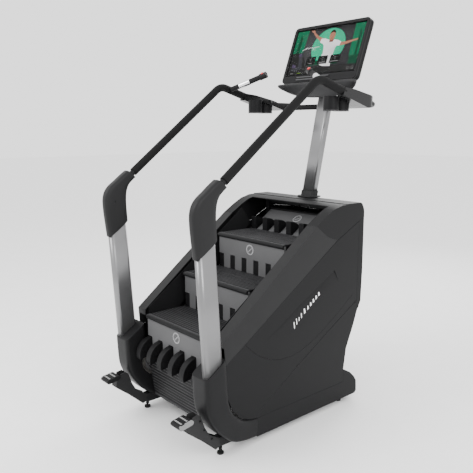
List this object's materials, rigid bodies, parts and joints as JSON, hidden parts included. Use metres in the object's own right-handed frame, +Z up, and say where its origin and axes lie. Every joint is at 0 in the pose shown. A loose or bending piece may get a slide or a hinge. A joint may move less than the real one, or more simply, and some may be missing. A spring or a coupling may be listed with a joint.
{
  "type": "stair climber",
  "caption": "Stair climber with an endless flight of folding steps between side rails, tall handrails with thumb buttons, bottle trays and a tilted display on a mast.",
  "frame": {"origin": "floor level, at the middle of the machine's footprint box", "axes": "+X to the user's right, +Y forward from the step entry to the console, +Z up"},
  "size_m": [0.83, 1.456, 2.206],
  "materials": {
    "tread_black": "ribbed matte",
    "riser_grey": "satin",
    "chain_steel": "oiled",
    "sprocket_steel": "machined",
    "shaft_steel": "ground",
    "bearing_iron": "painted",
    "pulley_alloy": "turned",
    "belt_rubber": "matte",
    "brake_alloy": "turned",
    "magnet_plate": "matte",
    "track_nylon": "matte",
    "frame_black": "powder coat",
    "casing_black": "fine grain",
    "panel_black": "satin",
    "cover_satin": "semi gloss",
    "post_silver": "metallic satin",
    "mast_silver": "metallic satin",
    "rail_tube": "satin",
    "sleeve_foam": "soft matte",
    "grip_rubber": "moulded",
    "cap_black": "satin",
    "button_red": "gloss",
    "contact_steel": "polished",
    "foot_rubber": "matte",
    "platform_rubber": "ribbed",
    "bracket_black": "powder coat",
    "cup_black": "satin",
    "tray_gloss": "gloss",
    "console_plastic": "fine grain",
    "screen_glass": "clear gloss",
    "screen_panel": "lit display",
    "circuit_green": "solder mask"
  },
  "bodies": {
    "machine": {"base_covers": "casing_black", "belt": "belt_rubber", "boots": "casing_black", "brake_stator": "magnet_plate", "console_back": "console_plastic", "console_bezel": "console_plastic", "console_board": "circuit_green", "console_bracket": "frame_black", "console_ledge": "console_plastic", "cross_tubes": "frame_black", "cup_holders": "cup_black", "display_glass": "screen_glass", "display_panel": "screen_panel", "elbow_covers": "cover_satin", "foot_platforms": "platform_rubber", "front_cover": "casing_black", "grip_caps": "cap_black", "grips": "grip_rubber", "inner_walls": "panel_black", "left_handrail": "rail_tube", "left_rail_cover": "cover_satin", "left_side_frame": "frame_black", "left_side_panel": "panel_black", "mast": "mast_silver", "mast_boot": "cover_satin", "posts": "post_silver", "pulse_contacts": "contact_steel", "rail_sleeves": "sleeve_foam", "right_handrail": "rail_tube", "right_rail_cover": "cover_satin", "right_side_frame": "frame_black", "right_side_panel": "panel_black", "shaft_bearings": "bearing_iron", "step_brackets": "bracket_black", "top_cover": "casing_black", "tracks": "track_nylon", "trays": "tray_gloss"},
    "stair_run": {"treads_level_run": "tread_black", "risers_level_run": "riser_grey", "chain_level_run": "chain_steel"},
    "upper_turn": {"treads_over_drive": "tread_black", "risers_over_drive": "riser_grey", "chain_over_drive": "chain_steel", "drive_sprockets": "sprocket_steel", "drive_shaft": "shaft_steel", "drive_pulley": "pulley_alloy"},
    "leaving_riser": {"risers_leaving_drive": "riser_grey"},
    "leaving_tread": {"treads_leaving_drive": "tread_black"},
    "return_run": {"treads_return_run": "tread_black", "risers_return_run": "riser_grey", "chain_return_run": "chain_steel"},
    "nearing_riser": {"risers_nearing_idler": "riser_grey"},
    "nearing_tread": {"treads_nearing_idler": "tread_black"},
    "lower_turn": {"chain_round_idler": "chain_steel", "idler_sprockets": "sprocket_steel", "idler_shaft": "shaft_steel"},
    "brake_disc": {"brake_rotor": "brake_alloy"},
    "left_button": {"left_speed_button": "button_red"},
    "right_button": {"right_speed_button": "button_red"},
    "feet": {"levelling_feet": "foot_rubber"}
  },
  "joints": [
    {"name": "stair_slide", "type": "slide", "parent": "machine", "child": "stair_run", "axis": [0, 0.7892, 0.6142], "range_m": [-0.02, 0.02]},
    {"name": "drive_turn", "type": "hinge", "parent": "machine", "child": "upper_turn", "pos_m": [0, 0.37476, 0.86602], "axis": [1, 0, 0], "range_deg": [-9.37, 9.37]},
    {"name": "leaving_riser_fold", "type": "hinge", "parent": "machine", "child": "leaving_riser", "pos_m": [0, 0.09473, 0.98137], "axis": [1, 0, 0], "range_deg": [-2.76, 2.76]},
    {"name": "leaving_tread_fold", "type": "hinge", "parent": "machine", "child": "leaving_tread", "pos_m": [0, -0.13632, 1.19391], "axis": [1, 0, 0], "range_deg": [-1.76, 1.76]},
    {"name": "return_slide", "type": "slide", "parent": "machine", "child": "return_run", "axis": [0, -0.8392, -0.5439], "range_m": [-0.0202, 0.0202]},
    {"name": "nearing_riser_fold", "type": "hinge", "parent": "machine", "child": "nearing_riser", "pos_m": [0, -0.40088, 0.4046], "axis": [1, 0, 0], "range_deg": [-7.34, 7.34]},
    {"name": "nearing_tread_fold", "type": "hinge", "parent": "machine", "child": "nearing_tread", "pos_m": [0, -0.4135, 0.2882], "axis": [1, 0, 0], "range_deg": [-12.1, 12.1]},
    {"name": "idler_turn", "type": "hinge", "parent": "machine", "child": "lower_turn", "pos_m": [0, -0.42213, 0.29929], "axis": [1, 0, 0], "range_deg": [-14.16, 14.16]},
    {"name": "brake_turn", "type": "hinge", "parent": "machine", "child": "brake_disc", "pos_m": [0, 0.25476, 0.63102], "axis": [1, 0, 0], "range_deg": [-39.03, 39.03]},
    {"name": "left_button_press", "type": "slide", "parent": "machine", "child": "left_button", "axis": [0.0397, 0.573, -0.8186], "range_m": [0, 0.0015], "stiffness_N_per_m": 500, "springref_m": -0.0005},
    {"name": "right_button_press", "type": "slide", "parent": "machine", "child": "right_button", "axis": [-0.0397, 0.573, -0.8186], "range_m": [0, 0.0015], "stiffness_N_per_m": 500, "springref_m": -0.0005},
    {"name": "feet_screw_out", "type": "slide", "parent": "machine", "child": "feet", "axis": [0, 0, -1], "range_m": [0, 0.008]}
  ],
  "couplings": [
    {"joint": "drive_turn", "follows": "stair_slide", "rad_per_m": -8.0542},
    {"joint": "leaving_riser_fold", "follows": "stair_slide", "rad_per_m": -2.3418},
    {"joint": "leaving_tread_fold", "follows": "stair_slide", "rad_per_m": -1.4765},
    {"joint": "nearing_riser_fold", "follows": "stair_slide", "rad_per_m": -6.2965},
    {"joint": "nearing_tread_fold", "follows": "stair_slide", "rad_per_m": -10.411},
    {"joint": "idler_turn", "follows": "stair_slide", "rad_per_m": -12.195},
    {"joint": "brake_turn", "follows": "stair_slide", "rad_per_m": -33.681},
    {"joint": "return_slide", "follows": "stair_slide", "ratio": 1}
  ]
}
